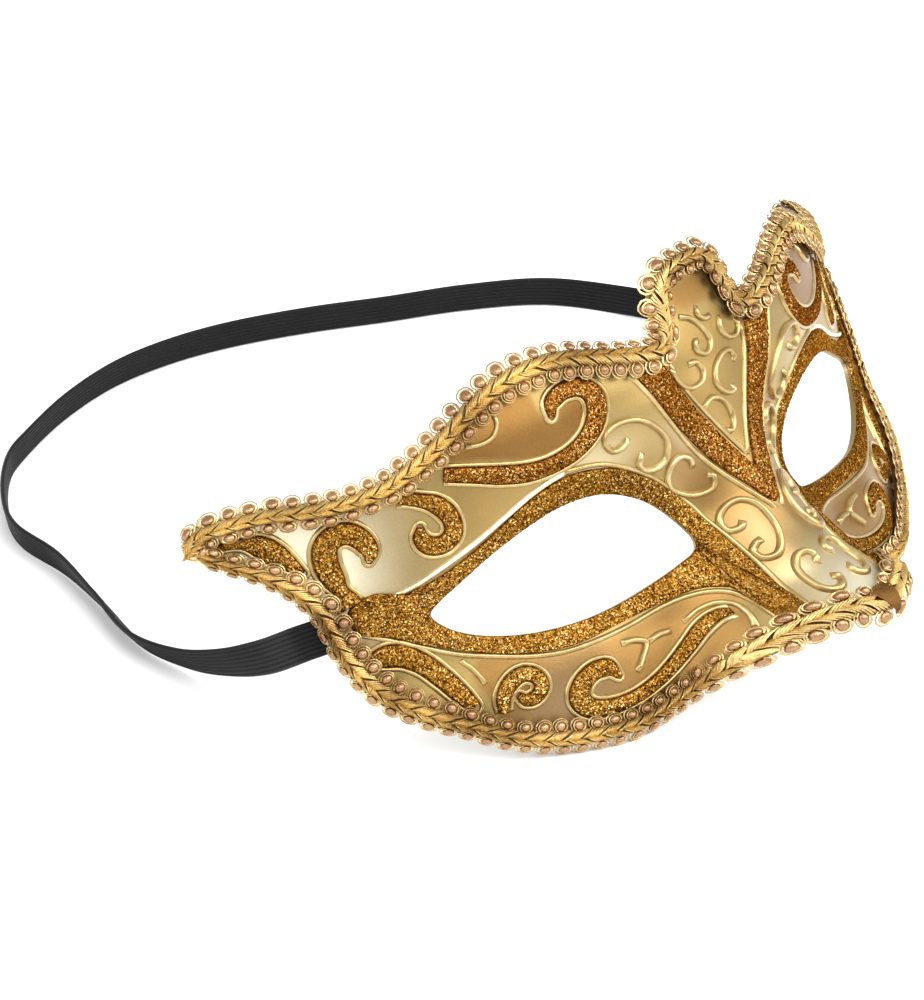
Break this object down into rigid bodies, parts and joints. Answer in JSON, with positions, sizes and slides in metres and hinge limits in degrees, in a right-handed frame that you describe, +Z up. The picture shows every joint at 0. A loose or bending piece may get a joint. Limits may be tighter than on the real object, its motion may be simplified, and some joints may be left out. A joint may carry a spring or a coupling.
{
  "type": "masquerade mask",
  "caption": "Half mask with cat-like upswept wings, almond eye holes, glitter scrollwork, a looped braid edge and an elastic band.",
  "frame": {"origin": "on the table under the middle of the mask's own box, the elastic band left out, with the mask standing on its cheeks and leaning back 25 degrees", "axes": "+Z up from the table; +X across the face, towards the wearer's left eye; +Y back towards the wearer, so the front of the mask looks along -Y"},
  "size_m": [0.2015, 0.2069, 0.0795],
  "materials": {
    "gold_shell": "pale gold metallic paint with darker bronze fields on the front, bare white moulded plastic inside",
    "glitter_glue": "coarse copper and yellow gold glitter set in clear glue",
    "metallic_braid": "metallic gold thread braid, plaited core with a row of loops on each side",
    "black_elastic": "flat woven elastic with fine lengthwise ribs",
    "staple_wire": "bright staple wire"
  },
  "bodies": {
    "mask": {"mask_shell": "gold_shell", "forehead_v_glitter": "glitter_glue", "eye_rim_glitter_left": "glitter_glue", "brow_curl_glitter_left": "glitter_glue", "temple_curl_glitter_left": "glitter_glue", "wing_curl_glitter_left": "glitter_glue", "wing_tip_glitter_left": "glitter_glue", "cheek_hook_glitter_left": "glitter_glue", "cheek_spiral_glitter_left": "glitter_glue", "cheek_curl_glitter_left": "glitter_glue", "eye_rim_glitter_right": "glitter_glue", "brow_curl_glitter_right": "glitter_glue", "temple_curl_glitter_right": "glitter_glue", "wing_curl_glitter_right": "glitter_glue", "wing_tip_glitter_right": "glitter_glue", "cheek_hook_glitter_right": "glitter_glue", "cheek_spiral_glitter_right": "glitter_glue", "cheek_curl_glitter_right": "glitter_glue", "braid_top": "metallic_braid", "braid_bottom_left": "metallic_braid", "braid_bottom_right": "metallic_braid", "elastic_end_left": "black_elastic", "elastic_end_right": "black_elastic", "staple_left": "staple_wire", "staple_right": "staple_wire"},
    "band": {"elastic_loop": "black_elastic"}
  },
  "joints": [
    {"name": "band_swing", "type": "hinge", "parent": "mask", "child": "band", "pos_m": [0, 0.0274, 0.0226], "axis": [1, 0, 0], "range_deg": [0, 25]}
  ]
}
